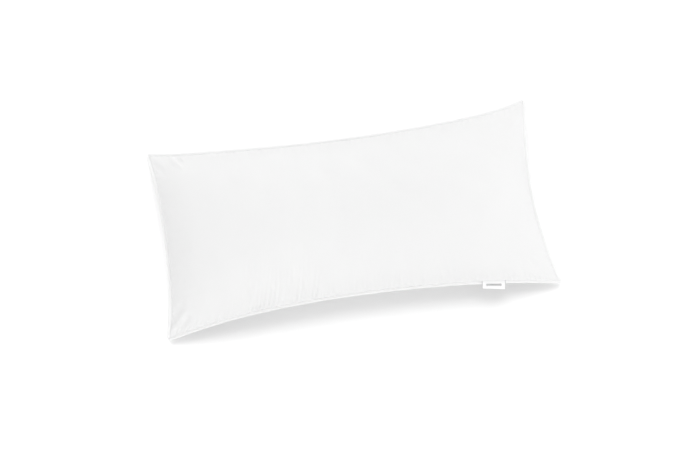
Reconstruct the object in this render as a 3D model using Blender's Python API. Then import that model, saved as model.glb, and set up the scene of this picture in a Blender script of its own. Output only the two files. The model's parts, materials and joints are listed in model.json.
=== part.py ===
"""A long bed pillow lying on its back.

Three sewn pieces: the filled cotton cover, the piping round its seam, and a small blank tab caught in the near seam.
X runs along the pillow, Y across it and Z up. All sizes are metres, and the pillow rests on z = 0.
"""

import math

import bmesh
import bpy
import numpy as np

# The seam line, where the two panels of the cover meet, seen from above.
# Each corner is where its two sides would cross if it weren't rounded. Droop is how far it hangs below mid-side height,
# and trim is how far out along each of its sides its rounding starts.
CORNERS = (
    # name, along, across, droop, trim
    ("near_left", -0.3989, -0.1884, 0.052, 0.013),
    ("near_right", 0.3962, -0.1906, 0.050, 0.006),
    ("far_right", 0.3923, 0.1967, 0.038, 0.022),
    ("far_left", -0.3948, 0.1949, 0.040, 0.013),
)
# Each side leaves its first corner turned inwards, and comes to its second corner turned outwards again.
# A reach is the length of that pull, as a share of the side.
SIDES = (
    # name, leaving_deg, leaving_reach, arriving_deg, arriving_reach
    ("near", 9.5, 0.340, 6.5, 0.335),
    ("right", 30.0, 0.260, 21.0, 0.293),
    ("far", 37.0, 0.160, 35.0, 0.086),
    ("left", 19.0, 0.218, 32.5, 0.202),
)
FINE_STEPS = 1000  # along a side's curve, to measure its length
CORNER_FADE = 0.045  # how far into the panels the rounding is felt

SEAM_HEIGHT = 0.064  # of the seam over the floor, at mid-side
DROOP_POWER = 3.5  # keeps the droop near the corners

# The crown is an arc across and along the pillow, zero at the seam.
CROWN_RISE = 0.088  # of the top panel over the seam
CROWN_ARC = math.radians(60)  # the slope of the arc where it meets the seam
BELLY_DROP = 0.108  # of the bottom panel under the seam, if no floor stopped it
BELLY_ARC = math.radians(64)
TAPER_POWER = 2.2  # above 1 keeps the crown full along the pillow, and its ends short
FLOOR_EASE = 0.008  # how softly the bottom panel bends onto the floor
SEAM_PLY = 0.0015  # the sewn layers inside the seam, on each face
SEAM_PLY_POWER = 24.0
TIE_POWER = 8.0  # ties every swelling and crease down at the seam

# Uneven filling: soft swellings and hollows of the top panel. Along and across run from -1 to 1, seam to seam.
SWELLINGS = (
    # along, across, reach_along, reach_across, rise
    (-0.66, 0.30, 0.26, 0.50, -0.0030),
    (-0.36, -0.42, 0.24, 0.40, 0.0028),
    (0.05, 0.36, 0.30, 0.42, -0.0022),
    (0.38, -0.10, 0.28, 0.50, 0.0030),
    (0.72, 0.60, 0.18, 0.34, -0.0032),
    (0.74, -0.62, 0.18, 0.30, -0.0028),
)
# The main creases of the top panel near its corners, each a soft ridge, or a trough where the rise is negative.
CREASES = (
    # from_along, from_across, to_along, to_across, half_width, rise
    (-0.985, -0.850, -0.890, -0.780, 0.0065, 0.0024),
    (-0.985, -0.790, -0.905, -0.690, 0.0075, -0.0030),
    (-0.940, -0.955, -0.870, -0.850, 0.0070, -0.0034),
    (-0.890, 0.985, -0.845, 0.790, 0.0060, 0.0026),
    (-0.866, 0.985, -0.830, 0.840, 0.0065, -0.0024),
    (-0.975, 0.900, -0.915, 0.700, 0.0080, -0.0028),
    (0.955, 0.930, 0.850, 0.720, 0.0080, -0.0024),
    (0.955, -0.930, 0.845, -0.720, 0.0080, -0.0024),
    (0.840, -0.955, 0.790, -0.800, 0.0070, -0.0018),
)

PIPING_RADIUS = 0.0022
PIPING_SIDES = 8
CLEARANCE = 0.0003  # between pieces that are sewn to each other

TAB_CENTRE = 0.2575  # along the pillow, from its middle
TAB_WIDTH = 0.047
TAB_THICK = 0.0011
TAB_SKEW = 0.11  # how much longer than its middle the right edge is, and how much shorter the left one
TAB_COLUMNS = 8
# The tab's middle line, out of the seam, over the piping and down. Out and up are measured from the seam.
TAB_LINE = (
    # out, up
    (-0.0006, 0.0020),
    (0.0006, 0.0027),
    (0.0024, 0.0031),
    (0.0042, 0.0028),
    (0.0062, 0.0019),
    (0.0085, 0.0006),
    (0.0108, -0.0009),
    (0.0130, -0.0025),
    (0.0152, -0.0042),
)

CELLS_ALONG = 64
CELLS_ACROSS = 32
EDGE_CROWDING = 0.6  # 0 spaces the cells evenly, and near 1 crowds them at the seam

# name, grey, roughness
COVER_CLOTH = ("white cotton cover", 0.80, 0.88)
PIPING_CLOTH = ("white cotton piping", 0.86, 0.80)
TAB_CLOTH = ("white ribbon", 0.84, 0.55)
SHARP_ANGLE = math.radians(50)


def unit(vector):
    return vector / np.linalg.norm(vector)


def corner_point(index):
    return np.array(CORNERS[index % len(CORNERS)][1:3])


def corner_trim(index):
    return CORNERS[index % len(CORNERS)][4]


def side_curve(index, shares):
    """Points of one side of the seam, before its corners are rounded, at each share of the side's own length."""
    _, leaving_deg, leaving_reach, arriving_deg, arriving_reach = SIDES[index]
    start, end = corner_point(index), corner_point(index + 1)
    chord = end - start
    inwards = np.array([-chord[1], chord[0]])
    leaving, arriving = math.radians(leaving_deg), math.radians(arriving_deg)
    first = start + leaving_reach * (math.cos(leaving) * chord + math.sin(leaving) * inwards)
    second = end - arriving_reach * (math.cos(arriving) * chord - math.sin(arriving) * inwards)
    s = np.linspace(0, 1, FINE_STEPS)[:, None]
    line = (1 - s) ** 3 * start + 3 * (1 - s) ** 2 * s * first + 3 * (1 - s) * s**2 * second + s**3 * end
    run = np.concatenate([[0], np.cumsum(np.linalg.norm(np.diff(line, axis=0), axis=1))])
    return np.stack([np.interp(shares, run / run[-1], line[:, axis]) for axis in range(2)], axis=-1)


def side_length(index):
    return float(np.linalg.norm(corner_point(index + 1) - corner_point(index)))


def corner_directions(index):
    """The directions from a corner out along the side before it, and along the side after it."""
    nearby = corner_trim(index) / side_length(index)
    corner = corner_point(index)
    before = side_curve((index - 1) % len(SIDES), 1 - nearby) - corner
    after = side_curve(index % len(SIDES), nearby) - corner
    return unit(before), unit(after)


def corner_rounding(points, index, own, other):
    """How far the rounding of a corner moves these points of one of its sides.

    The rounding is a curve that starts the corner's trim out on this side and ends as far out on the other one.
    """
    trim = corner_trim(index)
    distance = np.linalg.norm(points - corner_point(index), axis=-1, keepdims=True)
    reached = np.minimum(distance / trim, 1.0)
    share = (1 + reached) / 2
    return trim * ((1 - share) ** 2 * other + (share**2 - reached) * own)


def side_rounding(index, shares):
    """The shifts that round both ends of a side, at each share of its length."""
    points = side_curve(index, shares)
    before, own = corner_directions(index)
    own_back, after = corner_directions(index + 1)
    return corner_rounding(points, index, own, before) + corner_rounding(points, index + 1, own_back, after)


def fade(share, length):
    """1 on a side and 0 once CORNER_FADE inside it."""
    return np.clip(1 - share * length / CORNER_FADE, 0, 1)[..., None] ** 2


def plan_points(along, across):
    """Where the panel's points lie seen from above. Along and across run from -1 to 1, and are 1 or -1 on the seam."""
    s, t = (along + 1) / 2, (across + 1) / 2
    near, far = side_curve(0, s), side_curve(2, 1 - s)
    right, left = side_curve(1, t), side_curve(3, 1 - t)
    w, h = s[..., None], t[..., None]
    near_left, near_right, far_right, far_left = (corner_point(i) for i in range(4))
    corners = (1 - w) * (1 - h) * near_left + w * (1 - h) * near_right + w * h * far_right + (1 - w) * h * far_left
    points = (1 - h) * near + h * far + (1 - w) * left + w * right - corners

    to_near, to_far = fade(t, side_length(1)), fade(1 - t, side_length(1))
    to_left, to_right = fade(s, side_length(0)), fade(1 - s, side_length(0))
    points = points + to_near * side_rounding(0, s) + to_far * side_rounding(2, 1 - s)
    points = points + to_right * side_rounding(1, t) + to_left * side_rounding(3, 1 - t)
    for index, weight in enumerate((to_near * to_left, to_near * to_right, to_far * to_right, to_far * to_left)):
        points = points - weight * side_rounding(index, 0.0)
    return points


def arc_profile(position, slope):
    """An arc, 1 in the middle and 0 at position 1 or -1, where it has that slope angle before it is stretched."""
    return (np.sqrt(1 - (position * math.sin(slope)) ** 2) - math.cos(slope)) / (1 - math.cos(slope))


def fullness(along, across, slope):
    return arc_profile(np.abs(along) ** TAPER_POWER, slope) * arc_profile(across, slope)


def seam_level(along, across):
    """The height of the middle surface between the panels, lower towards the corners."""
    s, t = (along + 1) / 2, (across + 1) / 2
    near_left, near_right, far_right, far_left = (row[3] for row in CORNERS)
    droop = (1 - s) * (1 - t) * near_left + s * (1 - t) * near_right + s * t * far_right + (1 - s) * t * far_left
    return SEAM_HEIGHT - droop * np.abs(along * across) ** DROOP_POWER


def seam_ply(along, across):
    return SEAM_PLY * (1 - np.abs(along) ** SEAM_PLY_POWER) * (1 - np.abs(across) ** SEAM_PLY_POWER)


def unevenness(along, across, points):
    """The rise or fall that the filling's swellings and the main creases give the top panel."""
    rise = np.zeros_like(along)
    for at_along, at_across, reach_along, reach_across, height in SWELLINGS:
        away = ((along - at_along) / reach_along) ** 2 + ((across - at_across) / reach_across) ** 2
        rise += height * np.exp(-away)
    for from_along, from_across, to_along, to_across, half_width, height in CREASES:
        start = plan_points(np.array(from_along), np.array(from_across))
        run = plan_points(np.array(to_along), np.array(to_across)) - start
        share = np.clip((points - start) @ run / (run @ run), 0, 1)
        away = np.linalg.norm(points - start - share[..., None] * run, axis=-1)
        rise += height * np.sin(math.pi * share) * np.exp(-((away / half_width) ** 2))
    return rise * (1 - np.abs(along) ** TIE_POWER) * (1 - np.abs(across) ** TIE_POWER)


def eased_floor(height):
    """The height kept off the floor: 0 for anything well below it, with a soft bend between."""
    eased = (height + FLOOR_EASE) ** 2 / (4 * FLOOR_EASE)
    return np.where(height > FLOOR_EASE, height, np.where(height < -FLOOR_EASE, 0.0, eased))


def top_height(along, across, points):
    crown = CROWN_RISE * fullness(along, across, CROWN_ARC)
    return seam_level(along, across) + crown + seam_ply(along, across) + unevenness(along, across, points)


def bottom_height(along, across):
    belly = BELLY_DROP * fullness(along, across, BELLY_ARC)
    return eased_floor(seam_level(along, across) - belly - seam_ply(along, across))


def crowded(cells):
    """Cell edges from -1 to 1, closer together near the ends."""
    even = np.linspace(-1, 1, cells + 1)
    return (1 - EDGE_CROWDING) * even + EDGE_CROWDING * np.sin(even * math.pi / 2)


def panel_grid():
    """The panel's cell corners, as along, across and points seen from above."""
    along, across = np.meshgrid(crowded(CELLS_ALONG), crowded(CELLS_ACROSS), indexing="ij")
    return along, across, plan_points(along, across)


def seam_loop():
    """The seam's own points in space, once round from the near left corner, the near side first."""
    along, across, points = panel_grid()
    line = np.concatenate([points, seam_level(along, across)[..., None]], axis=-1)
    return np.concatenate([line[:-1, 0], line[-1, :-1], line[:0:-1, -1], line[0, :0:-1]])


def outward_steps(loop):
    """For each point of a loop, the level step outwards that moves both its sides by one unit."""
    sides = np.roll(loop, -1, axis=0)[:, :2] - loop[:, :2]
    sides /= np.linalg.norm(sides, axis=1, keepdims=True)
    normals = np.stack([sides[:, 1], -sides[:, 0]], axis=1)
    both = normals + np.roll(normals, 1, axis=0)
    return 2 * both / np.sum(both**2, axis=1, keepdims=True)


def cloth_material(name, grey, roughness):
    material = bpy.data.materials.new(name)
    material.use_nodes = True
    shader = material.node_tree.nodes["Principled BSDF"]
    shader.inputs["Base Color"].default_value = (grey, grey, grey, 1.0)
    shader.inputs["Roughness"].default_value = roughness
    shader.inputs["Metallic"].default_value = 0.0
    return material


def add_object(name, shape, material):
    """Turns a bmesh into a smooth shaded object of that name."""
    bmesh.ops.recalc_face_normals(shape, faces=shape.faces)
    if shape.calc_volume(signed=True) < 0:
        bmesh.ops.reverse_faces(shape, faces=shape.faces)
    mesh = bpy.data.meshes.new(name)
    shape.to_mesh(mesh)
    shape.free()
    mesh.shade_smooth()
    mesh.set_sharp_from_angle(angle=SHARP_ANGLE)
    mesh.materials.append(material)
    thing = bpy.data.objects.new(name, mesh)
    bpy.context.scene.collection.objects.link(thing)
    return thing


def build_cover():
    """Both panels as one filled solid: two grids that share their seam."""
    along, across, points = panel_grid()
    shape = bmesh.new()

    def grid_of(heights, seam=None):
        grid = {}
        for i in range(CELLS_ALONG + 1):
            for j in range(CELLS_ACROSS + 1):
                on_seam = i in (0, CELLS_ALONG) or j in (0, CELLS_ACROSS)
                if seam and on_seam:
                    grid[i, j] = seam[i, j]
                else:
                    grid[i, j] = shape.verts.new((*points[i, j], heights[i, j]))
        for i in range(CELLS_ALONG):
            for j in range(CELLS_ACROSS):
                shape.faces.new((grid[i, j], grid[i + 1, j], grid[i + 1, j + 1], grid[i, j + 1]))
        return grid

    top = grid_of(top_height(along, across, points))
    grid_of(bottom_height(along, across), seam=top)
    return add_object("pillow_cover", shape, cloth_material(*COVER_CLOTH))


def build_piping():
    """A covered cord that runs once round the seam, just outside it."""
    loop = seam_loop()
    outwards = outward_steps(loop)
    shape = bmesh.new()
    rings = []
    for point, step in zip(loop, outwards):
        out = np.array([*step, 0.0])
        centre = point + (PIPING_RADIUS + CLEARANCE) * out
        ring = []
        for k in range(PIPING_SIDES):
            turn = 2 * math.pi * k / PIPING_SIDES
            offset = math.cos(turn) * out + math.sin(turn) * np.array([0.0, 0.0, 1.0])
            ring.append(shape.verts.new(centre + PIPING_RADIUS * offset))
        rings.append(ring)
    for ring, following in zip(rings, rings[1:] + rings[:1]):
        for k in range(PIPING_SIDES):
            after = (k + 1) % PIPING_SIDES
            shape.faces.new((ring[k], ring[after], following[after], following[k]))
    return add_object("piping", shape, cloth_material(*PIPING_CLOTH))


def build_tab():
    """A short folded ribbon caught in the near seam, that lies over the piping."""
    line = np.array(TAB_LINE)
    runs = np.gradient(line, axis=0)
    runs /= np.linalg.norm(runs, axis=1, keepdims=True)
    upper = line + TAB_THICK / 2 * np.stack([-runs[:, 1], runs[:, 0]], axis=1)
    lower = line - TAB_THICK / 2 * np.stack([-runs[:, 1], runs[:, 0]], axis=1)
    outline = np.concatenate([upper, lower[::-1]])

    fine = np.linspace(0, 1, FINE_STEPS)
    columns_along = np.linspace(TAB_CENTRE - TAB_WIDTH / 2, TAB_CENTRE + TAB_WIDTH / 2, TAB_COLUMNS + 1)
    shares = np.interp(columns_along, side_curve(0, fine)[:, 0], fine)
    plan = side_curve(0, shares)
    level = seam_level(2 * shares - 1, np.full_like(shares, -1.0))
    run = unit(plan[-1] - plan[0])
    out = np.array([run[1], -run[0], 0.0])
    up = np.array([0.0, 0.0, 1.0])

    shape = bmesh.new()
    columns = []
    for point, height, longer in zip(plan, level, np.linspace(-TAB_SKEW, TAB_SKEW, TAB_COLUMNS + 1)):
        root = np.array([*point, height])
        columns.append([shape.verts.new(root + x * (1 + longer) * out + z * up) for x, z in outline])
    for column, following in zip(columns, columns[1:]):
        for k in range(len(outline)):
            after = (k + 1) % len(outline)
            shape.faces.new((column[k], column[after], following[after], following[k]))
    shape.faces.new(columns[0])
    shape.faces.new(reversed(columns[-1]))
    return add_object("seam_tab", shape, cloth_material(*TAB_CLOTH))


def main():
    for thing in list(bpy.data.objects):
        bpy.data.objects.remove(thing, do_unlink=True)
    build_cover()
    build_piping()
    build_tab()


main()
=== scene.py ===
"""The looks of a long white bed pillow: a filled cotton cover, piping round its seam and a woven tab.

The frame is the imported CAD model. X runs along the pillow, Y across it and Z up. All sizes are metres.
"""

import json
import math

import bpy
import numpy as np
from bpy.props import FloatProperty, FloatVectorProperty, PointerProperty
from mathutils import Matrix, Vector

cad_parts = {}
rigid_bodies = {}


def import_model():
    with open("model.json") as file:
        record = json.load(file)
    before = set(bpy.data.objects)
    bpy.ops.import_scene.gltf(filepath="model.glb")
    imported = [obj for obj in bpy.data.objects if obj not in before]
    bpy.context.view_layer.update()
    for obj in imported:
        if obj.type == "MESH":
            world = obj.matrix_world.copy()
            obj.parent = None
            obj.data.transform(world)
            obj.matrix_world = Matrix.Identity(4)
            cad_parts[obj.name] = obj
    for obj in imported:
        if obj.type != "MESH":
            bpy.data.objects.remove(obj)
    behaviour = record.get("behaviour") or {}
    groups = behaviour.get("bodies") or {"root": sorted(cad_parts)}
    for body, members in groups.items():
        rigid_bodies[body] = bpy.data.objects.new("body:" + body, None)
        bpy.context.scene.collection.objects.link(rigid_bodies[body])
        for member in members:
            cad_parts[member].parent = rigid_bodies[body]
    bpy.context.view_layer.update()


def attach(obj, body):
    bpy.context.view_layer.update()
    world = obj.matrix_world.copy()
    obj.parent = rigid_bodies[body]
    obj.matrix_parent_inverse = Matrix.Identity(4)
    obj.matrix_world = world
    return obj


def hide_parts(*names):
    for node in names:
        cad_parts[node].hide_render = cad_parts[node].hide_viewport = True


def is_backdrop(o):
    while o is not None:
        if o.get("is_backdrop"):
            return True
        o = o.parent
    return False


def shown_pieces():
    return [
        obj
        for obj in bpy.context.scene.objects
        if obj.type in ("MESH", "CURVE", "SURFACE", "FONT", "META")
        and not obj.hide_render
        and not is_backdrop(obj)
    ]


bl_info = {
    "name": "Bed Pillow",
    "version": (1, 0, 0),
    "blender": (4, 5, 0),
    "location": "3D View > Sidebar > Pillow",
    "description": "A filled cotton bed pillow with piping round its seam and a woven tab",
    "category": "Object",
}

for thing in list(bpy.data.objects):
    bpy.data.objects.remove(thing, do_unlink=True)

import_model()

# The seam line, where the two panels of the cover meet, seen from above.
# Each corner is where its two sides would cross if it weren't rounded. Droop is how far it hangs below
# mid-side height, and trim is how far out along each of its sides its rounding starts.
CORNERS = (
    # name, along, across, droop, trim
    ("near_left", -0.3989, -0.1884, 0.052, 0.013),
    ("near_right", 0.3962, -0.1906, 0.050, 0.006),
    ("far_right", 0.3923, 0.1967, 0.038, 0.022),
    ("far_left", -0.3948, 0.1949, 0.040, 0.013),
)
# Each side leaves its first corner turned inwards, and comes to its second corner turned outwards again.
# A reach is the length of that pull, as a share of the side.
SIDES = (
    # name, leaving_deg, leaving_reach, arriving_deg, arriving_reach
    ("near", 9.5, 0.340, 6.5, 0.335),
    ("right", 30.0, 0.260, 21.0, 0.293),
    ("far", 37.0, 0.160, 35.0, 0.086),
    ("left", 19.0, 0.218, 32.5, 0.202),
)
FINE_STEPS = 1000  # along a side's curve, to measure its length
CORNER_FADE = 0.045  # how far into the panels the rounding is felt

SEAM_HEIGHT = 0.064  # of the seam over the floor, at mid-side
DROOP_POWER = 3.5  # keeps the droop near the corners

# The crown is an arc across and along the pillow, zero at the seam.
CROWN_RISE = 0.088  # of the top panel over the seam
CROWN_ARC = math.radians(60)  # the slope of the arc where it meets the seam
BELLY_DROP = 0.108  # of the bottom panel under the seam, if no floor stopped it
BELLY_ARC = math.radians(64)
TAPER_POWER = 2.2  # above 1 keeps the crown full along the pillow, and its ends short
FLOOR_EASE = 0.008  # how softly the bottom panel bends onto the floor
SEAM_PLY = 0.0015  # the sewn layers inside the seam, on each face
SEAM_PLY_POWER = 24.0
TIE_POWER = 8.0  # ties every swelling and crease down at the seam

# Uneven filling: soft swellings and hollows of the top panel.
# Along and across run from -1 to 1, seam to seam.
SWELLINGS = (
    # along, across, reach_along, reach_across, rise
    (-0.66, 0.30, 0.26, 0.50, -0.0030),
    (-0.36, -0.42, 0.24, 0.40, 0.0028),
    (0.05, 0.36, 0.30, 0.42, -0.0022),
    (0.38, -0.10, 0.28, 0.50, 0.0030),
    (0.72, 0.60, 0.18, 0.34, -0.0032),
    (0.74, -0.62, 0.18, 0.30, -0.0028),
)
# Creases of the top panel near its corners, each a soft ridge, or a trough where the rise is negative.
CREASES = (
    # from_along, from_across, to_along, to_across, half_width, rise
    (-0.985, -0.850, -0.890, -0.780, 0.0065, 0.0024),
    (-0.985, -0.790, -0.905, -0.690, 0.0075, -0.0030),
    (-0.940, -0.955, -0.870, -0.850, 0.0070, -0.0034),
    (-0.890, 0.985, -0.845, 0.790, 0.0060, 0.0026),
    (-0.866, 0.985, -0.830, 0.840, 0.0065, -0.0024),
    (-0.975, 0.900, -0.915, 0.700, 0.0080, -0.0028),
    (0.955, 0.930, 0.850, 0.720, 0.0080, -0.0024),
    (0.955, -0.930, 0.845, -0.720, 0.0080, -0.0024),
    (0.840, -0.955, 0.790, -0.800, 0.0070, -0.0018),
)
# Gathers that the seam's stitches pull into the cloth, square to each side. Shares run along the side
# from its start. Every row is a train of soft waves: spacing from crest to crest, how far in from the
# seam they reach, and how far they lean along the side for each metre in.
PUCKERS = (
    # side, from_share, to_share, blend, spacing, reach, lean, height
    ("near", 0.20, 0.40, 0.04, 0.0095, 0.074, 0.15, 0.00046),
    ("near", 0.12, 0.62, 0.08, 0.0086, 0.034, 0.15, 0.00036),
    ("near", 0.02, 0.15, 0.03, 0.0098, 0.022, 0.10, 0.00040),
    ("near", 0.60, 0.97, 0.06, 0.0110, 0.024, 0.00, 0.00026),
    ("near", 0.56, 0.80, 0.06, 0.0190, 0.045, -0.10, 0.00018),
    ("right", 0.03, 0.97, 0.04, 0.0125, 0.026, 0.0, 0.00020),
    ("far", 0.03, 0.97, 0.04, 0.0125, 0.026, 0.0, 0.00018),
    ("far", 0.20, 0.80, 0.10, 0.0200, 0.050, 0.0, 0.00016),
    ("left", 0.03, 0.97, 0.04, 0.0125, 0.026, 0.0, 0.00022),
    ("left", 0.10, 0.90, 0.08, 0.0200, 0.050, 0.0, 0.00020),
)
# Short folds at the left end's corners, each a ridge, or a trough where the rise is negative.
FOLDS = (
    # from_along, from_across, to_along, to_across, half_width, rise
    (-1.030, -0.930, -0.905, -0.800, 0.0055, 0.0026),
    (-1.020, -0.880, -0.925, -0.690, 0.0072, -0.0036),
    (-0.980, -1.010, -0.880, -0.850, 0.0055, -0.0036),
    (-0.960, -0.975, -0.920, -0.915, 0.0028, 0.0012),
    (-0.985, -0.945, -0.955, -0.905, 0.0028, -0.0013),
    (-0.885, 1.010, -0.820, 0.740, 0.0045, 0.0024),
    (-0.855, 1.000, -0.818, 0.840, 0.0042, -0.0020),
    (-0.990, 0.990, -0.915, 0.800, 0.0055, 0.0010),
    (-1.000, 0.930, -0.925, 0.690, 0.0060, -0.0016),
)
FOLD_BLEND = 0.005  # from the piping's lip to a fold's full height
PUCKER_WAVES = 28  # in each train
PUCKER_START = 0.004  # from the seam to nearly full height
PUCKER_TURNS = (0.72, 1.30)  # the widest and the closest wave of a train, as shares of its usual turns
PUCKER_TWIST = 0.30  # how far a train's waves turn against each other
HOLD_START = 0.004  # stitch gathers fade where two sides' seams are nearly as close as each other
HOLD_BLEND = 0.008
LUMP_SPACING = 0.085  # of the filling's soft lumps under the cloth
LUMP_HEIGHT = 0.0004
LUMP_WAVES = 40
LUMP_TURNS = (0.6, 1.5)  # the widest and the closest wave of the lumps, as shares of their usual turns
LUMP_BLEND = 0.06  # from the seam to full height
SEED = 7

CELLS_ALONG = 430
CELLS_ACROSS = 104
EDGE_CROWDING = 0.45  # 0 spaces the cells evenly, and near 1 crowds them at the seam

CLEARANCE = 0.0003  # between pieces that are sewn to each other
PIPING_STEPS = 9  # round the cord's outer half
PIPING_LIP = 0.0020  # how far the piping's cloth laps in over the cover's edge, at most
PIPING_LIP_RISE = 0.95  # of the cord's radius, where the lip meets a steep cover
PIPING_LIP_STEPS = 4
PIPING_LIP_GAP = 0.00006  # between the lip and the cover that it is sewn to
PIPING_LIP_PULL = 0.6  # how far in the lip's cloth keeps the height of the cord's crest, as a share
LEAST_SLOPE = 0.01  # of the cover where it leaves the seam
PIPING_WOBBLES = (0.0083, 0.0127, 0.0191, 0.031, 0.052)  # from one slim place of the cord to the next
SHARP_ANGLE = math.radians(50)
CLOTH_MAP = "Cloth"  # the UV map that holds lengths along the cloth, in metres
UNDERSIDE_SHIFT = 1.0  # keeps the bottom panel's pattern apart from the top one's

TAB_CENTRE = 0.2575  # along the pillow, from its middle
TAB_SKEW = 0.11  # how much longer than its middle the right edge is, and how much shorter the left one
TAB_COLUMNS = 48
TAB_ROWS = 40
TAB_SMOOTHINGS = 6
TAB_EDGE_POWER = 16  # keeps the thinning close to the ribbon's fold and its root
TAB_EDGE_LEAST = 0.04  # the square of the thinnest place's share of the thickness
# The tab's middle line, out of the seam, over the piping and down. Out and up are from the seam.
TAB_LINE = (
    # out, up
    (-0.0016, 0.0031),
    (0.0002, 0.0032),
    (0.0024, 0.0032),
    (0.0042, 0.0028),
    (0.0062, 0.0019),
    (0.0085, 0.0006),
    (0.0108, -0.0009),
    (0.0130, -0.0025),
    (0.0152, -0.0042),
)

# The cloth's patterns. Scales are in features for each metre, and depths are those of the bumps.
DULLEST_COVER = 0.972  # of the cover's colour, where it is mottled most
MOTTLE_SCALE = 9.0
MOTTLE_SHARE = 0.6  # of the mottling, and the slubs have the rest
SLUB_SCALES = (900.0, 45.0)  # across a slub, and along it
SLUB_DEPTH = 0.00018
CRUMPLE_SCALE = 38.0
CRUMPLE_DEPTH = 0.0006
STITCH_SPACING = 0.0058  # from gather to gather of the seam's stitches
STITCH_REACH = 0.007  # how far in from the seam their gathers fade
STITCH_WANDER = 9.0  # how unevenly they are spaced, in radians
STITCH_WANDER_SCALE = 60.0
STITCH_DEPTH = 0.0007
WEAVE_DIP = 0.4  # how much a thread sinks before it goes under
COVER_WEAVE_DEPTH = 0.00006
DULLEST_PIPING = 0.955
PIPING_MOTTLE_SCALE = 25.0
PIPING_WRINKLE_SCALES = (160.0, 260.0, 1.0)
PIPING_WRINKLE_DEPTH = 0.00035
PIPING_WEAVE_DEPTH = 0.00008

# The ribbon's row of lozenges: large open ones, with a small solid one between each two.
LOZENGES = 7
LOZENGE_PITCH = 0.0044
LOZENGE_ROW = 0.0090  # from the seam, along the ribbon
LOZENGE_HALF_HEIGHT = 0.0033
LARGE_HALF_WIDTH = 0.46  # of the pitch
SMALL_HALF_WIDTH = 0.20
SMALL_SHORTNESS = 2.4  # how many times lower a small lozenge is than a large one
LOZENGE_OPENING = 0.42  # of a large lozenge
MOTIF_WEAR = 0.25
MOTIF_WEAR_SCALE = 500.0
MOTIF_DEPTH = 0.00012
# Painted shade: a thin grey line round the tab's free edges stands for the thin shadows along them.
EDGE_SHADE_STRENGTH = 0.8
EDGE_SHADE_START = 0.001  # from the seam, along the ribbon
DULLEST_RIBBON = 0.94
RIBBON_GRAIN_SCALES = (1400.0, 300.0, 1.0)
RIB_SPACING = 0.0006
RIB_SHARE = 0.4  # of the ribbon's relief, and its grain has the rest
RIB_DEPTH = 0.00008

# The photograph's view: where the camera is, what it looks at, and how far off centre that appears,
# in pixels of the photograph.
PHOTO_WIDTH = 690
CAMERA_AT = (-0.0839, -0.5599, 2.4840)
CAMERA_AIM = (0.0005, -0.0043, 0.05)
CAMERA_LENS_MM = 65
AIM_RIGHT_PX = 7.1
AIM_UP_PX = 13.0
SENSOR_WIDTH_MM = 36
CLIP_START, CLIP_END = 0.05, 60

FLOOR_HALF = 12.0
FLOOR_GAP = 0.0001
FLOOR_GREYS = (0.91, 0.90)
FLOOR_SPECKLE_SCALE = 3.0
FLOOR_KEY_AIM = (0.0, -0.50, -0.87)
FLOOR_FILL_AIM = (0.0, -0.25, -0.97)
FLOOR_SOFTNESS_DEG = 40
PILLOW_KEY_AIM = (-0.57, 0.0, -0.82)
PILLOW_SOFTNESS_DEG = 50
WHITE = (1.0, 1.0, 1.0, 1.0)
UP = np.array([0.0, 0.0, 1.0])


def unit(vector):
    return vector / np.linalg.norm(vector)


def corner_point(index):
    return np.array(CORNERS[index % len(CORNERS)][1:3])


def corner_trim(index):
    return CORNERS[index % len(CORNERS)][4]


def side_curve(index, shares):
    """Points of one side of the seam at each share of its length, before its corners are rounded."""
    _, leaving_deg, leaving_reach, arriving_deg, arriving_reach = SIDES[index]
    start, end = corner_point(index), corner_point(index + 1)
    chord = end - start
    inwards = np.array([-chord[1], chord[0]])
    leaving, arriving = math.radians(leaving_deg), math.radians(arriving_deg)
    first = start + leaving_reach * (math.cos(leaving) * chord + math.sin(leaving) * inwards)
    second = end - arriving_reach * (math.cos(arriving) * chord - math.sin(arriving) * inwards)
    s = np.linspace(0, 1, FINE_STEPS)[:, None]
    line = (1 - s) ** 3 * start + 3 * (1 - s) ** 2 * s * first + 3 * (1 - s) * s**2 * second + s**3 * end
    run = np.concatenate([[0], np.cumsum(np.linalg.norm(np.diff(line, axis=0), axis=1))])
    return np.stack([np.interp(shares, run / run[-1], line[:, axis]) for axis in range(2)], axis=-1)


def side_length(index):
    return float(np.linalg.norm(corner_point(index + 1) - corner_point(index)))


def corner_directions(index):
    """The directions from a corner out along the side before it, and along the side after it."""
    nearby = corner_trim(index) / side_length(index)
    corner = corner_point(index)
    before = side_curve((index - 1) % len(SIDES), 1 - nearby) - corner
    after = side_curve(index % len(SIDES), nearby) - corner
    return unit(before), unit(after)


def corner_rounding(points, index, own, other):
    """How far the rounding of a corner moves these points of one of its sides."""
    trim = corner_trim(index)
    distance = np.linalg.norm(points - corner_point(index), axis=-1, keepdims=True)
    reached = np.minimum(distance / trim, 1.0)
    share = (1 + reached) / 2
    return trim * ((1 - share) ** 2 * other + (share**2 - reached) * own)


def side_rounding(index, shares):
    """The shifts that round both ends of a side, at each share of its length."""
    points = side_curve(index, shares)
    before, own = corner_directions(index)
    own_back, after = corner_directions(index + 1)
    first = corner_rounding(points, index, own, before)
    return first + corner_rounding(points, index + 1, own_back, after)


def fade(share, length):
    """1 on a side and 0 once CORNER_FADE inside it."""
    return np.clip(1 - share * length / CORNER_FADE, 0, 1)[..., None] ** 2


def between_corners(s, t, near_left, near_right, far_right, far_left):
    """A blend of what the four corners have, for points at these shares along and across the panel."""
    near = (1 - s) * (1 - t) * near_left + s * (1 - t) * near_right
    return near + s * t * far_right + (1 - s) * t * far_left


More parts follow.
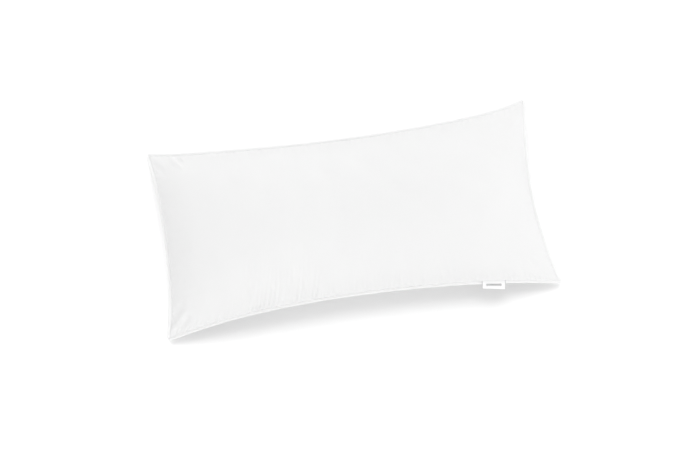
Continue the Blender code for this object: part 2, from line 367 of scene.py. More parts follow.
def plan_points(along, across):
    """Where the panel's points lie, seen from above. Along and across are 1 or -1 on the seam."""
    s, t = (along + 1) / 2, (across + 1) / 2
    near, far = side_curve(0, s), side_curve(2, 1 - s)
    right, left = side_curve(1, t), side_curve(3, 1 - t)
    w, h = s[..., None], t[..., None]
    corners = between_corners(w, h, *(corner_point(index) for index in range(len(CORNERS))))
    points = (1 - h) * near + h * far + (1 - w) * left + w * right - corners

    to_near, to_far = fade(t, side_length(1)), fade(1 - t, side_length(1))
    to_left, to_right = fade(s, side_length(0)), fade(1 - s, side_length(0))
    points = points + to_near * side_rounding(0, s) + to_far * side_rounding(2, 1 - s)
    points = points + to_right * side_rounding(1, t) + to_left * side_rounding(3, 1 - t)
    weights = (to_near * to_left, to_near * to_right, to_far * to_right, to_far * to_left)
    for index, weight in enumerate(weights):
        points = points - weight * side_rounding(index, 0.0)
    return points


def arc_profile(position, slope):
    """An arc with that slope angle at its ends, stretched to be 1 in the middle and 0 at 1 and -1."""
    return (np.sqrt(1 - (position * math.sin(slope)) ** 2) - math.cos(slope)) / (1 - math.cos(slope))


def fullness(along, across, slope):
    return arc_profile(np.abs(along) ** TAPER_POWER, slope) * arc_profile(across, slope)


def seam_level(along, across):
    """The height of the middle surface between the panels, lower towards the corners."""
    s, t = (along + 1) / 2, (across + 1) / 2
    droop = between_corners(s, t, *(row[3] for row in CORNERS))
    return SEAM_HEIGHT - droop * np.abs(along * across) ** DROOP_POWER


def seam_ply(along, across):
    return SEAM_PLY * (1 - np.abs(along) ** SEAM_PLY_POWER) * (1 - np.abs(across) ** SEAM_PLY_POWER)


def creased(table, points):
    """The rise or fall that a table's creases give these points."""
    rise = np.zeros(points.shape[:-1])
    for from_along, from_across, to_along, to_across, half_width, height in table:
        start = plan_points(np.array(from_along), np.array(from_across))
        run = plan_points(np.array(to_along), np.array(to_across)) - start
        share = np.clip((points - start) @ run / (run @ run), 0, 1)
        away = np.linalg.norm(points - start - share[..., None] * run, axis=-1)
        rise += height * np.sin(math.pi * share) * np.exp(-((away / half_width) ** 2))
    return rise


def unevenness(along, across, points):
    """The rise or fall that the filling's swellings and the main creases give the top panel."""
    rise = creased(CREASES, points)
    for at_along, at_across, reach_along, reach_across, height in SWELLINGS:
        away = ((along - at_along) / reach_along) ** 2 + ((across - at_across) / reach_across) ** 2
        rise += height * np.exp(-away)
    return rise * (1 - np.abs(along) ** TIE_POWER) * (1 - np.abs(across) ** TIE_POWER)


def eased_floor(height):
    """The height kept off the floor: 0 for anything well below it, with a soft bend between."""
    eased = (height + FLOOR_EASE) ** 2 / (4 * FLOOR_EASE)
    return np.where(height > FLOOR_EASE, height, np.where(height < -FLOOR_EASE, 0.0, eased))


def top_height(along, across, points):
    crown = CROWN_RISE * fullness(along, across, CROWN_ARC)
    smooth = seam_level(along, across) + crown + seam_ply(along, across)
    return smooth + unevenness(along, across, points)


def bottom_height(along, across):
    belly = BELLY_DROP * fullness(along, across, BELLY_ARC)
    return eased_floor(seam_level(along, across) - belly - seam_ply(along, across))


def at_height(plan, height):
    """Points seen from above, with that height added to each."""
    return np.concatenate([plan, height[..., None]], axis=-1)


def crowded(cells):
    """Cell edges from -1 to 1, closer together near the ends."""
    even = np.linspace(-1, 1, cells + 1)
    return (1 - EDGE_CROWDING) * even + EDGE_CROWDING * np.sin(even * math.pi / 2)


def panel_grid():
    """The panel's cell corners, as along, across and points seen from above."""
    along, across = np.meshgrid(crowded(CELLS_ALONG), crowded(CELLS_ACROSS), indexing="ij")
    return along, across, plan_points(along, across)


def grid_edge(grid):
    """A grid's outer points, once round from the near left corner, the near side first."""
    return np.concatenate([grid[:-1, 0], grid[-1, :-1], grid[:0:-1, -1], grid[0, :0:-1]])


def outward_steps(loop):
    """For each point of a loop, the level step outwards that moves both its sides by one unit."""
    sides = np.roll(loop, -1, axis=0)[:, :2] - loop[:, :2]
    sides /= np.linalg.norm(sides, axis=1, keepdims=True)
    normals = np.stack([sides[:, 1], -sides[:, 0]], axis=1)
    both = normals + np.roll(normals, 1, axis=0)
    return 2 * both / np.sum(both**2, axis=1, keepdims=True)


def grid_normals(points):
    """Unit normals of a grid of points in space, upwards."""
    normals = np.cross(np.gradient(points, axis=0), np.gradient(points, axis=1))
    return normals / np.linalg.norm(normals, axis=-1, keepdims=True)


def seam_gaps(points):
    """How far each point of a panel is from the near, right, far and left seam, along the cloth."""
    steps_along = np.linalg.norm(np.diff(points, axis=0), axis=-1)
    steps_across = np.linalg.norm(np.diff(points, axis=1), axis=-1)
    from_left = np.concatenate([np.zeros_like(steps_along[:1]), np.cumsum(steps_along, axis=0)])
    near_seam = np.zeros_like(steps_across[:, :1])
    from_near = np.concatenate([near_seam, np.cumsum(steps_across, axis=1)], axis=1)
    return from_near, from_left[-1:] - from_left, from_near[:, -1:] - from_near, from_left


def wave_train(draws, run, gap, spacing, reach, waves):
    """Random soft waves about zero: crests that far apart along run, which hold for about reach."""
    total = np.zeros_like(run)
    for _ in range(waves):
        turns = 2 * math.pi / spacing * draws.uniform(*PUCKER_TURNS)
        lean = 2 * math.pi / reach * PUCKER_TWIST * draws.standard_normal()
        total += np.cos(turns * run + lean * gap + draws.uniform(0, 2 * math.pi))
    return total * math.sqrt(2 / waves)


def rising(value, start, width):
    """0 below start, 1 above start + width, and a smooth rise between."""
    share = np.clip((value - start) / width, 0, 1)
    return share * share * (3 - 2 * share)


def puckers(along, across, gaps, seed):
    """How far the seam's gathers lift the cloth of one panel."""
    s, t = (along + 1) / 2, (across + 1) / 2
    shares = {"near": s, "right": t, "far": 1 - s, "left": 1 - t}
    names = [row[0] for row in SIDES]
    lift = np.zeros_like(along)
    for number, (side, start, end, blend, spacing, reach, lean, height) in enumerate(PUCKERS):
        index = names.index(side)
        draws = np.random.default_rng(1000 * seed + number)
        share, gap = shares[side], gaps[index]
        zone = rising(share, start - blend / 2, blend) * (1 - rising(share, end - blend / 2, blend))
        hold = (1 - np.exp(-((gap / PUCKER_START) ** 2))) * np.exp(-((gap / reach) ** 2))
        run = share * side_length(index) - lean * gap
        waves = wave_train(draws, run, gap, spacing, reach, PUCKER_WAVES)
        lift += height * zone * hold * waves
    return lift


def folds(points, gaps):
    """How far the short folds lift the top panel, from the edge of the piping's lip inwards."""
    return creased(FOLDS, points[..., :2]) * rising(np.minimum.reduce(gaps), PIPING_LIP, FOLD_BLEND)


def lumps(draws, gaps):
    """Soft lumps of the filling, felt through the cloth away from the seam."""
    total = np.zeros_like(gaps[0])
    for _ in range(LUMP_WAVES):
        turn = draws.uniform(0, 2 * math.pi)
        speed = 2 * math.pi / LUMP_SPACING * draws.uniform(*LUMP_TURNS)
        place = gaps[3] * math.cos(turn) + gaps[0] * math.sin(turn)
        total += np.cos(speed * place + draws.uniform(0, 2 * math.pi))
    nearest = np.minimum.reduce(gaps)
    return LUMP_HEIGHT * total * math.sqrt(2 / LUMP_WAVES) * rising(nearest, 0.0, LUMP_BLEND)


def grid_faces(index, flip=False):
    """The quads between neighbouring entries of a grid of vertex numbers."""
    corners = (index[:-1, :-1], index[1:, :-1], index[1:, 1:], index[:-1, 1:])
    quads = np.stack(corners, axis=-1).reshape(-1, 4)
    return quads[:, ::-1] if flip else quads


class Wire:
    """An output socket of a material's nodes that takes part in Python arithmetic."""

    def __init__(self, finish, socket):
        self.finish, self.socket = finish, socket

    def maths(self, operation, *values):
        return self.finish.node("ShaderNodeMath", {"operation": operation}, dict(enumerate(values)))

    def __add__(self, other):
        return self.maths("ADD", self, other)

    def __radd__(self, other):
        return self.maths("ADD", other, self)

    def __sub__(self, other):
        return self.maths("SUBTRACT", self, other)

    def __rsub__(self, other):
        return self.maths("SUBTRACT", other, self)

    def __mul__(self, other):
        return self.maths("MULTIPLY", self, other)

    def __rmul__(self, other):
        return self.maths("MULTIPLY", other, self)

    def __truediv__(self, other):
        return self.maths("DIVIDE", self, other)

    def __gt__(self, other):
        return self.maths("GREATER_THAN", self, other)

    def __lt__(self, other):
        return self.maths("LESS_THAN", self, other)

    def __abs__(self):
        return self.maths("ABSOLUTE", self)

    def sine(self):
        return self.maths("SINE", self)

    def ripple(self):
        """The value's sine, brought between 0 and 1."""
        return self.sine() * 0.5 + 0.5

    def exp(self):
        return self.maths("EXPONENT", self)

    def repeat(self, length):
        """The value's place within its stretch of that length, from 0."""
        return self.maths("FLOORED_MODULO", self, length)


class Finish:
    """The nodes of a material or a world, and the one way they are made."""

    def __init__(self, owner, surface="Principled BSDF"):
        owner.use_nodes = True
        self.tree = owner.node_tree
        self.surface = self.tree.nodes[surface]

    def node(self, kind, settings=None, sockets=None, output=0):
        """Adds a node: its settings first, then the values or links of its sockets."""
        made = self.tree.nodes.new(kind)
        for name, value in (settings or {}).items():
            setattr(made, name, value)
        self.feed(made, sockets or {})
        return Wire(self, made.outputs[output])

    def feed(self, made, sockets):
        for key, value in sockets.items():
            if isinstance(value, Wire):
                self.tree.links.new(value.socket, made.inputs[key])
            else:
                made.inputs[key].default_value = value

    def place(self):
        """The place on the cloth in metres, as one vector and as its two lengths."""
        spot = self.node("ShaderNodeUVMap", {"uv_map": CLOTH_MAP})
        along = self.node("ShaderNodeSeparateXYZ", sockets={0: spot}, output=0)
        return spot, along, self.node("ShaderNodeSeparateXYZ", sockets={0: spot}, output=1)

    def measure(self, name):
        """A number that the mesh holds at each of its points."""
        return self.node("ShaderNodeAttribute", {"attribute_name": name}, output=2)

    def noise(self, spot, scale, detail=2.0, stretch=(1.0, 1.0, 1.0)):
        """Random values from about 0 to 1 over the cloth."""
        spread = self.node("ShaderNodeVectorMath", {"operation": "MULTIPLY"}, {0: spot, 1: stretch})
        sockets = {"Vector": spread, "Scale": scale, "Detail": detail}
        return self.node("ShaderNodeTexNoise", sockets=sockets)

    def blend(self, share, first, second):
        """The first colour where share is 0, and the second where it is 1."""
        colours = {0: share, 6: first, 7: second}
        return self.node("ShaderNodeMix", {"data_type": "RGBA"}, colours, output=2)

    def bump(self, height, depth, under=None):
        """A bump of that depth in metres, over another one."""
        sockets = {"Height": height, "Distance": depth}
        if under:
            sockets["Normal"] = under
        return self.node("ShaderNodeBump", sockets=sockets)


def woven(along, across, thread):
    """The height of a plain weave, from 0 to 1."""
    warp, weft = (along * (math.pi / thread)).sine(), (across * (math.pi / thread)).sine()
    over = warp * weft > 0
    warp, weft = abs(warp), abs(weft)
    warp_top = over * warp * (1 - WEAVE_DIP + WEAVE_DIP * weft)
    return warp_top + (1 - over) * weft * (1 - WEAVE_DIP + WEAVE_DIP * warp)


def tinted(colour, factor=1.0):
    return (*(channel * factor for channel in colour), 1.0)


def cover_finish(settings):
    """White percale: a fine weave with slubs, faint crumpling and small gathers at the stitches."""
    material = bpy.data.materials.new("white cotton cover")
    finish = Finish(material)
    spot, along, across = finish.place()
    gap, run, hold = (finish.measure(name) for name in ("seam_gap", "seam_run", "seam_hold"))

    mottle = finish.noise(spot, MOTTLE_SCALE, 3.0)
    fine, long = SLUB_SCALES
    warp_slubs = finish.noise(spot, 1.0, 1.0, (long, fine, 1.0))
    weft_slubs = finish.noise(spot, 1.0, 1.0, (fine, long, 1.0))
    slubs = warp_slubs * 0.5 + weft_slubs * 0.5
    weave = woven(along, across, settings.thread)
    crumple = finish.noise(spot, CRUMPLE_SCALE, 3.0)
    wander = finish.noise(spot, STITCH_WANDER_SCALE, 1.0)
    crests = (run * (2 * math.pi / STITCH_SPACING) + wander * STITCH_WANDER).ripple()
    gather = crests * (gap / -STITCH_REACH).exp() * hold

    shade = mottle * MOTTLE_SHARE + slubs * (1 - MOTTLE_SHARE)
    dull = tinted(settings.cotton, DULLEST_COVER)
    finish.feed(finish.surface, {
        "Base Color": finish.blend(shade, tinted(settings.cotton), dull),
        "Roughness": 0.80 + 0.12 * slubs,
        "Sheen Weight": 0.15,
        "Sheen Roughness": 0.45,
        "Specular IOR Level": 0.35,
    })
    soft = finish.bump(crumple, CRUMPLE_DEPTH)
    stitched = finish.bump(gather, STITCH_DEPTH, soft)
    slubbed = finish.bump(slubs, SLUB_DEPTH, stitched)
    finish.feed(finish.surface, {"Normal": finish.bump(weave, COVER_WEAVE_DEPTH, slubbed)})
    return material


def piping_finish(settings, thread):
    """The same cotton cut on the bias over a cord, with small wrinkles along it, in a lighter tone than
    the cover's that paints a highlight along the seam.
    """
    material = bpy.data.materials.new("white cotton piping")
    finish = Finish(material)
    spot, along, across = finish.place()
    slant, slope = (along + across) * math.sqrt(0.5), (along - across) * math.sqrt(0.5)
    weave = woven(slant, slope, thread)
    wrinkle = finish.noise(spot, 1.0, 2.0, PIPING_WRINKLE_SCALES)
    mottle = finish.noise(spot, PIPING_MOTTLE_SCALE, 2.0)
    dull = tinted(settings.cotton, DULLEST_PIPING)
    finish.feed(finish.surface, {
        "Base Color": finish.blend(mottle, tinted(settings.cotton), dull),
        "Roughness": 0.72 + 0.12 * wrinkle,
        "Sheen Weight": 0.10,
        "Sheen Roughness": 0.45,
        "Specular IOR Level": 0.35,
    })
    wrinkled = finish.bump(wrinkle, PIPING_WRINKLE_DEPTH)
    finish.feed(finish.surface, {"Normal": finish.bump(weave, PIPING_WEAVE_DEPTH, wrinkled)})
    return material


def lozenge_row(along, across, middle):
    """1 inside the ribbon's woven marks, and 0 elsewhere."""
    half_pitch = LOZENGE_PITCH / 2
    from_middle = along - middle
    up = abs(across - LOZENGE_ROW) / LOZENGE_HALF_HEIGHT
    large = abs((from_middle + half_pitch).repeat(LOZENGE_PITCH) - half_pitch)
    small = abs(from_middle.repeat(LOZENGE_PITCH) - half_pitch)
    large = large / (LOZENGE_PITCH * LARGE_HALF_WIDTH) + up
    small = small / (LOZENGE_PITCH * SMALL_HALF_WIDTH) + up * SMALL_SHORTNESS
    lozenge = (large < 1) * (large > LOZENGE_OPENING) + (small < 1)
    return lozenge * (abs(from_middle) < LOZENGES / 2 * LOZENGE_PITCH) * (across > 0)


def tab_finish(settings, length):
    """A satin ribbon with a woven row of grey lozenges, and painted shade: a thin grey line round its
    free edges.
    """
    material = bpy.data.materials.new("white ribbon")
    finish = Finish(material)
    spot, along, across = finish.place()
    middle = settings.width / 2
    mark = lozenge_row(along, across, middle)
    # Painted shade: a grey line at both ends of the ribbon and along its folded free end, in the motif's
    # grey.
    ends = (abs(along - middle) > middle - settings.shade_line_width) * (across > EDGE_SHADE_START)
    shaded_free_edge = across > length - settings.shade_line_width
    line = ends + shaded_free_edge - ends * shaded_free_edge
    ribs = (across * (2 * math.pi / RIB_SPACING)).ripple()
    grain = finish.noise(spot, 1.0, 2.0, RIBBON_GRAIN_SCALES)
    worn = finish.noise(spot, MOTIF_WEAR_SCALE, 2.0)
    motif_and_shade_line = tinted(settings.motif_and_shade_line)
    plain = finish.blend(grain, tinted(settings.ribbon), tinted(settings.ribbon, DULLEST_RIBBON))
    marked = finish.blend(mark * (1 - MOTIF_WEAR + MOTIF_WEAR * worn), plain, motif_and_shade_line)
    finish.feed(finish.surface, {
        "Base Color": finish.blend(line * EDGE_SHADE_STRENGTH, marked, motif_and_shade_line),
        "Roughness": 0.42 + 0.2 * grain,
        "Sheen Weight": 0.05,
        "Specular IOR Level": 0.45,
    })
    ribbed = finish.bump(ribs * RIB_SHARE + grain * (1 - RIB_SHARE), RIB_DEPTH)
    finish.feed(finish.surface, {"Normal": finish.bump(mark, MOTIF_DEPTH, ribbed)})
    return material


def floor_finish():
    """A matt pale studio floor."""
    material = bpy.data.materials.new("studio floor")
    finish = Finish(material)
    spot = finish.node("ShaderNodeTexCoord", output=3)
    speckle = finish.noise(spot, FLOOR_SPECKLE_SCALE, 3.0)
    finish.feed(finish.surface, {
        "Base Color": finish.blend(speckle, *((grey, grey, grey, 1.0) for grey in FLOOR_GREYS)),
        "Roughness": 0.95,
        "Specular IOR Level": 0.0,
    })
    return material


def add_piece(name, points, faces, lengths, material, measures=None):
    """A smooth shaded mesh object. Lengths gives each face corner its place on the cloth, in metres."""
    mesh = bpy.data.meshes.new(name)
    mesh.from_pydata(points, [], faces)
    if mesh.validate():
        raise RuntimeError(f"{name} has faces that can't be kept")
    layer = mesh.uv_layers.new(name=CLOTH_MAP)
    layer.data.foreach_set("uv", np.asarray(lengths, np.float32).ravel())
    for key, values in (measures or {}).items():
        attribute = mesh.attributes.new(key, "FLOAT", "POINT")
        attribute.data.foreach_set("value", np.asarray(values, np.float32))
    mesh.shade_smooth()
    mesh.set_sharp_from_angle(angle=SHARP_ANGLE)
    mesh.materials.append(material)
    thing = bpy.data.objects.new(name, mesh)
    bpy.context.scene.collection.objects.link(thing)
    return thing


def build_cover(settings):
    """Both panels as one filled solid that share their seam, with gathers pulled in from the seam."""
    along, across, plan = panel_grid()
    top = at_height(plan, top_height(along, across, plan))
    bottom = at_height(plan, bottom_height(along, across))
    gaps, gaps_below = seam_gaps(top), seam_gaps(bottom)

    lift = settings.gathers * puckers(along, across, gaps, SEED)
    lift += lumps(np.random.default_rng(SEED), gaps)
    lift += folds(top, gaps)
    top = top + lift[..., None] * grid_normals(top)
    lift = settings.gathers * puckers(along, across, gaps_below, SEED + 1)
    bottom = bottom - lift[..., None] * grid_normals(bottom)
    bottom[..., 2] = np.maximum(bottom[..., 2], 0.0)

    count = along.size
    above = np.arange(count).reshape(along.shape)
    below = above + count
    on_seam = np.zeros(along.shape, bool)
    on_seam[[0, -1]] = True
    on_seam[:, [0, -1]] = True
    below[on_seam] = above[on_seam]
    used = np.concatenate([np.ones(count, bool), ~on_seam.ravel()])
    renumbered = np.cumsum(used) - 1
    faces = np.concatenate([grid_faces(above), grid_faces(below, flip=True)])

    lengths = []
    for index, panel_gaps, shift in ((above, gaps, 0.0), (above, gaps_below, UNDERSIDE_SHIFT)):
        place = np.stack([panel_gaps[3] + shift, panel_gaps[0]], axis=-1).reshape(-1, 2)
        lengths.append(place[grid_faces(index, flip=shift > 0)].reshape(-1, 2))

    s, t = (along + 1) / 2, (across + 1) / 2
    runs = (s * side_length(0), t * side_length(1), (1 - s) * side_length(2), (1 - t) * side_length(3))
    measures = {"seam_gap": [], "seam_run": [], "seam_hold": []}
    for panel_gaps in (gaps, gaps_below):
        nearest = np.argmin(np.stack(panel_gaps), axis=0)
        ordered = np.sort(np.stack(panel_gaps), axis=0)
        measures["seam_hold"].append(rising(ordered[1] - ordered[0], HOLD_START, HOLD_BLEND).ravel())
        measures["seam_gap"].append(np.minimum.reduce(panel_gaps).ravel())
        measures["seam_run"].append(np.choose(nearest, runs).ravel())
    measures = {key: np.concatenate(values)[used] for key, values in measures.items()}

    points = np.concatenate([top.reshape(-1, 3), bottom.reshape(-1, 3)])[used]
    faces, lengths = renumbered[faces], np.concatenate(lengths)
    return add_piece("filled_cover", points, faces, lengths, cover_finish(settings), measures)


def seam_slopes(grid):
    """How steeply a panel leaves its seam, at each of the grid's outer points."""
    slopes = []
    for inner, outer in (
        (grid[:-1, 1], grid[:-1, 0]),
        (grid[-2, :-1], grid[-1, :-1]),
        (grid[:0:-1, -2], grid[:0:-1, -1]),
        (grid[1, :0:-1], grid[0, :0:-1]),
    ):
        away = np.linalg.norm((inner - outer)[:, :2], axis=1)
        slopes.append(np.abs(inner - outer)[:, 2] / away)
    return np.concatenate(slopes)


def lip_line(radius, slope):
    """From the cord's crest inwards and down to its lip, which just clears a cover of that slope."""
    clear = PIPING_LIP_GAP * math.sqrt(1 + slope * slope)
    top = PIPING_LIP_RISE * radius
    inwards = min(PIPING_LIP, CLEARANCE + (top - clear) / max(slope, LEAST_SLOPE))
    tip = np.array([-radius - inwards, min(max(inwards - CLEARANCE, 0.0) * slope + clear, top)])
    crest = np.array([0.0, radius])
    pull = np.array([-PIPING_LIP_PULL * (radius + inwards), radius])
    t = (np.arange(PIPING_LIP_STEPS) + 1)[:, None] / PIPING_LIP_STEPS
    return (1 - t) ** 2 * crest + 2 * (1 - t) * t * pull + t * t * tip


def build_piping(settings, thread):
    """A covered cord once round the seam, just outside it, that laps a little over the cover's edge."""
    along, across, plan = panel_grid()
    loop = grid_edge(at_height(plan, seam_level(along, across)))
    top = at_height(plan, top_height(along, across, plan))
    bottom = at_height(plan, bottom_height(along, across))
    outwards = outward_steps(loop)
    steps = np.linalg.norm(np.roll(loop, -1, axis=0) - loop, axis=1)
    run = np.concatenate([[0], np.cumsum(steps)])
    draws = np.random.default_rng(SEED + 2)
    wobble = np.zeros(len(loop))
    for spacing in PIPING_WOBBLES:
        turns = round(run[-1] / spacing)
        wobble += np.cos(2 * math.pi * turns * run[:-1] / run[-1] + draws.uniform(0, 2 * math.pi))
    slimness = 0.5 + wobble / (2 * len(PIPING_WOBBLES))
    radii = settings.radius * (1 - settings.unevenness * slimness)

    turn = np.linspace(-math.pi / 2, math.pi / 2, PIPING_STEPS)
    half = np.stack([np.cos(turn), np.sin(turn)], axis=1)
    rings = []
    slopes = zip(seam_slopes(top), seam_slopes(bottom))
    for point, step, radius, (up, down) in zip(loop, outwards, radii, slopes):
        above, below = lip_line(radius, up), lip_line(radius, down) * (1, -1)
        section = np.concatenate([radius * half, above, [[-radius, 0.0]], below[::-1]])
        out = np.array([*step, 0.0])
        centre = point + (settings.radius + CLEARANCE) * out
        rings.append(centre + section[:, :1] * out + section[:, 1:] * UP)
    rings = np.array(rings)

    count, sides = rings.shape[:2]
    index = np.arange(count * sides).reshape(count, sides)
    index = np.concatenate([index, index[:1]])
    index = np.concatenate([index, index[:, :1]], axis=1)
    around = settings.radius * 2 * math.pi * np.arange(sides + 1) / sides
    place = np.stack(np.meshgrid(run, around, indexing="ij"), axis=-1).reshape(-1, 2)
    own = np.arange(index.size).reshape(index.shape)
    lengths = place[grid_faces(own)].reshape(-1, 2)
    points, finish = rings.reshape(-1, 3), piping_finish(settings, thread)
    return add_piece("seam_piping", points, grid_faces(index), lengths, finish)


def build_tab(settings):
    """A short ribbon folded at its free end and caught in the near seam, lying over the piping."""
    fine = np.linspace(0, 1, FINE_STEPS)
    half = settings.width / 2
    columns_along = np.linspace(TAB_CENTRE - half, TAB_CENTRE + half, TAB_COLUMNS + 1)
    shares = np.interp(columns_along, side_curve(0, fine)[:, 0], fine)
    plan = side_curve(0, shares)
    level = seam_level(2 * shares - 1, np.full_like(shares, -1.0))
    run = unit(plan[-1] - plan[0])
    out = np.array([run[1], -run[0], 0.0])

    rough = np.array(TAB_LINE)
    reached = np.concatenate([[0], np.cumsum(np.linalg.norm(np.diff(rough, axis=0), axis=1))])
    length = reached[-1]
    places = np.linspace(0, length, TAB_ROWS + 1)
    line = np.stack([np.interp(places, reached, rough[:, axis]) for axis in range(2)], axis=1)
    for _ in range(TAB_SMOOTHINGS):
        line[1:-1] = (line[:-2] + 2 * line[1:-1] + line[2:]) / 4
    runs = np.gradient(line, axis=0)
    runs /= np.linalg.norm(runs, axis=1, keepdims=True)
    sideways = np.stack([-runs[:, 1], runs[:, 0]], axis=1)
    # Thin at its free end, where the ribbon is folded, and at its root.
    plumpness = np.clip(1 - ((places / length - 0.5) * 2) ** TAB_EDGE_POWER, TAB_EDGE_LEAST, 1)
    offsets = (settings.thickness / 2 * np.sqrt(plumpness))[:, None] * sideways
    outline = np.concatenate([line + offsets, (line - offsets)[::-1]])
    outline_places = np.concatenate([places, places[::-1] - length])

    points, lengths = [], []
    skews = np.linspace(-TAB_SKEW, TAB_SKEW, len(plan))
    for point, height, at, longer in zip(plan, level, columns_along, skews):
        root = np.array([*point, height])
        points.append(root + outline[:, :1] * (1 + longer) * out + outline[:, 1:] * UP)
        lengths.append(np.stack([np.full(len(outline), at - columns_along[0]), outline_places], axis=1))
    points, lengths = np.array(points), np.array(lengths)
    index = np.arange(points.shape[0] * points.shape[1]).reshape(points.shape[:2])
    looped = np.concatenate([index, index[:, :1]], axis=1)
    faces = grid_faces(looped).tolist()
    faces += [index[0].tolist(), index[-1][::-1].tolist()]
    places = lengths.reshape(-1, 2)
    corners = np.concatenate([places[face] for face in faces])
    return add_piece("woven_tab", points.reshape(-1, 3), faces, corners, tab_finish(settings, length))


class CoverSettings(bpy.types.PropertyGroup):
    """What a user would change of the cover."""

    cotton: FloatVectorProperty(
        name="Cotton", description="Colour of the cover's cloth", subtype="COLOR", size=3, min=0, max=1,
        default=(0.800, 0.800, 0.800),
    )
    thread: FloatProperty(
        name="Thread spacing", description="From thread to thread of the weave", unit="LENGTH",
        precision=5, min=0.0001, max=0.01, default=0.0005,
    )
    gathers: FloatProperty(
        name="Gathers", description="How strongly the seam's stitches gather the cloth",
        subtype="FACTOR", min=0, max=3, default=1.0,
    )
    fill: FloatProperty(
        name="Fill", description="How full the pillow is, from slack to tight", subtype="FACTOR",
        min=0, max=1, default=0.7,
    )


class PipingSettings(bpy.types.PropertyGroup):
    """What a user would change of the piping."""

    # Lighter than the cover's cotton: a painted highlight, so that the piping shows as a bright line
    # round the seam.
    cotton: FloatVectorProperty(
        name="Cotton", description="Colour of the piping's cloth", subtype="COLOR", size=3, min=0, max=1,
        default=(0.865, 0.865, 0.865),
    )
    radius: FloatProperty(
        name="Radius", description="Of the covered cord", unit="LENGTH", precision=5,
        min=0.0005, max=0.0022, default=0.0022,
    )
    unevenness: FloatProperty(
        name="Unevenness", description="How much slimmer than its radius the cord gets in places",
        subtype="FACTOR", min=0, max=0.5, default=0.06,
    )


class TabSettings(bpy.types.PropertyGroup):
    """What a user would change of the tab."""

    ribbon: FloatVectorProperty(
        name="Ribbon", description="Colour of the ribbon", subtype="COLOR", size=3, min=0, max=1,
        default=(0.880, 0.880, 0.880),
    )
    # This grey also paints the shade line round the tab's free edges.
    motif_and_shade_line: FloatVectorProperty(
        name="Motif", description="Colour of the woven lozenges", subtype="COLOR", size=3, min=0, max=1,
        default=(0.200, 0.200, 0.205),
    )
    width: FloatProperty(
        name="Width", description="Along the seam", unit="LENGTH", precision=4,
        min=0.01, max=0.047, default=0.047,
    )
    thickness: FloatProperty(
        name="Thickness", description="Of both layers of the folded ribbon", unit="LENGTH", precision=5,
        min=0.0002, max=0.0011, default=0.0010,
    )
    # The painted shade line round the free edges, and how wide it is.
    shade_line_width: FloatProperty(
        name="Edge line", description="Width of the thin line round the free edges", unit="LENGTH",
        precision=5, min=0, max=0.003, default=0.0007,
    )


class StudioSettings(bpy.types.PropertyGroup):
    """What a user would change of the studio."""

    walls: FloatProperty(
        name="Walls", description="Brightness of the white tent low down", min=0, max=5, default=1.64,
    )
    long_walls: FloatProperty(
        name="Long walls", description="How much brighter the tent is in front and behind",
        min=0, max=5, default=0.88,
    )
    top: FloatProperty(
        name="Top", description="Brightness of the white tent overhead", min=0, max=5, default=0.50,
    )
    below: FloatProperty(
        name="Below", description="Brightness that comes up from below", min=0, max=5, default=0.45,
    )
    floor_key: FloatProperty(
        name="Floor key", description="Strength of the soft light that throws the floor's shadow",
        min=0, max=20, default=1.25,
    )
    floor_fill: FloatProperty(
        name="Floor fill", description="Strength of the steeper soft light on the floor",
        min=0, max=20, default=0.14,
    )
    pillow_key: FloatProperty(
        name="Pillow key", description="Strength of the soft light from the right",
        min=0, max=20, default=0.51,
    )


class PILLOW_OT_cover(bpy.types.Operator):
    """Builds the filled cotton cover"""

    bl_idname = "pillow.cover"
    bl_label = "Filled cover"

    def execute(self, context):
        settings = context.scene.pillow_cover
        cover = build_cover(settings)
        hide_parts("pillow_cover")
        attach(cover, "root")
        return {"FINISHED"}


class PILLOW_OT_piping(bpy.types.Operator):
    """Builds the piping round the seam"""

    bl_idname = "pillow.piping"
    bl_label = "Piping"

    def execute(self, context):
        piping = build_piping(context.scene.pillow_piping, context.scene.pillow_cover.thread)
        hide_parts("piping")
        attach(piping, "root")
        return {"FINISHED"}


class PILLOW_OT_tab(bpy.types.Operator):
    """Builds the small woven tab in the near seam"""

    bl_idname = "pillow.tab"
    bl_label = "Woven tab"

    def execute(self, context):
        tab = build_tab(context.scene.pillow_tab)
        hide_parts("seam_tab")
        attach(tab, "root")
        return {"FINISHED"}


def add_light(name, strength, aim, softness_deg, lit):
    """A soft distant light that shines along aim, on those objects alone."""
    lamp = bpy.data.lights.new(name, "SUN")
    lamp.energy, lamp.angle = strength, math.radians(softness_deg)
    thing = bpy.data.objects.new(name, lamp)
    thing.rotation_euler = Vector(aim).to_track_quat("-Z", "Y").to_euler()
    bpy.context.scene.collection.objects.link(thing)
    receivers = bpy.data.collections.new(name + " receivers")
    for receiver in lit:
        receivers.objects.link(receiver)
    thing.light_linking.receiver_collection = receivers


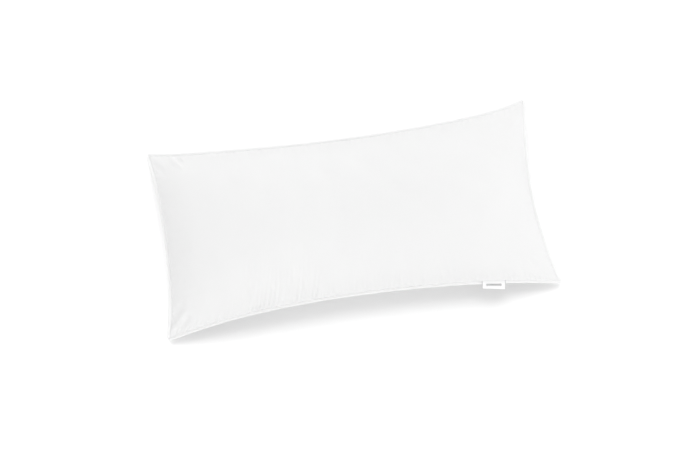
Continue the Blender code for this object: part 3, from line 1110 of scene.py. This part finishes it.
class PILLOW_OT_studio(bpy.types.Operator):
    """Sets out the pale floor, the soft light and the camera"""

    bl_idname = "pillow.studio"
    bl_label = "Studio"

    def execute(self, context):
        settings = context.scene.pillow_studio
        scene = context.scene
        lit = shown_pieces()
        square = [(-1, -1), (1, -1), (1, 1), (-1, 1)]
        corners = [(x * FLOOR_HALF, y * FLOOR_HALF, -FLOOR_GAP) for x, y in square]
        lengths = [(0, 0), (1, 0), (1, 1), (0, 1)]
        floor = add_piece("studio_floor", corners, [(0, 1, 2, 3)], lengths, floor_finish())
        floor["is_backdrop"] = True

        scene.world = bpy.data.worlds.new("white studio")
        studio = Finish(scene.world, "Background")
        way = studio.node("ShaderNodeTexCoord")
        depth = studio.node("ShaderNodeSeparateXYZ", sockets={0: way}, output=1)
        height = studio.node("ShaderNodeSeparateXYZ", sockets={0: way}, output=2)
        low = 1.0 - abs(height)
        tent = (settings.walls + settings.long_walls * abs(depth)) * low + settings.top * abs(height)
        strength = (height > 0) * (tent - settings.below) + settings.below
        studio.feed(studio.surface, {"Strength": strength, "Color": WHITE})
        floor.visible_diffuse = False  # the soft light from below is the studio's own
        add_light("floor key", settings.floor_key, FLOOR_KEY_AIM, FLOOR_SOFTNESS_DEG, [floor])
        add_light("floor fill", settings.floor_fill, FLOOR_FILL_AIM, FLOOR_SOFTNESS_DEG, [floor])
        add_light("pillow key", settings.pillow_key, PILLOW_KEY_AIM, PILLOW_SOFTNESS_DEG, lit)
        scene.view_settings.view_transform = "Standard"

        lens = bpy.data.cameras.new("photo view")
        lens.lens, lens.sensor_width = CAMERA_LENS_MM, SENSOR_WIDTH_MM
        lens.shift_x, lens.shift_y = -AIM_RIGHT_PX / PHOTO_WIDTH, -AIM_UP_PX / PHOTO_WIDTH
        lens.clip_start, lens.clip_end = CLIP_START, CLIP_END
        camera = bpy.data.objects.new("photo view", lens)
        camera.location = CAMERA_AT
        aim = Vector(CAMERA_AIM) - Vector(CAMERA_AT)
        camera.rotation_euler = aim.to_track_quat("-Z", "Y").to_euler()
        scene.collection.objects.link(camera)
        scene.camera = camera
        return {"FINISHED"}


class PILLOW_PT_panel(bpy.types.Panel):
    """Lists the pillow's settings and the buttons that build it"""

    bl_idname = "PILLOW_PT_panel"
    bl_label = "Bed pillow"
    bl_space_type = "VIEW_3D"
    bl_region_type = "UI"
    bl_category = "Pillow"

    def draw(self, context):
        for name, operator in GROUPS:
            box = self.layout.box()
            settings = getattr(context.scene, name)
            for key in settings.__annotations__:
                box.prop(settings, key)
            box.operator(operator)


GROUPS = (
    ("pillow_cover", "pillow.cover"),
    ("pillow_piping", "pillow.piping"),
    ("pillow_tab", "pillow.tab"),
    ("pillow_studio", "pillow.studio"),
)
SETTINGS = {
    "pillow_cover": CoverSettings,
    "pillow_piping": PipingSettings,
    "pillow_tab": TabSettings,
    "pillow_studio": StudioSettings,
}
OPERATORS = (PILLOW_OT_cover, PILLOW_OT_piping, PILLOW_OT_tab, PILLOW_OT_studio)


def register():
    for kind in (*SETTINGS.values(), *OPERATORS, PILLOW_PT_panel):
        bpy.utils.register_class(kind)
    for name, kind in SETTINGS.items():
        setattr(bpy.types.Scene, name, PointerProperty(type=kind))


def unregister():
    for name in SETTINGS:
        delattr(bpy.types.Scene, name)
    for kind in (PILLOW_PT_panel, *reversed(OPERATORS), *reversed(SETTINGS.values())):
        bpy.utils.unregister_class(kind)


def main():
    register()
    bpy.ops.pillow.cover()
    bpy.ops.pillow.piping()
    bpy.ops.pillow.tab()
    bpy.ops.pillow.studio()
    bpy.context.view_layer.update()


if __name__ == "__main__":
    main()
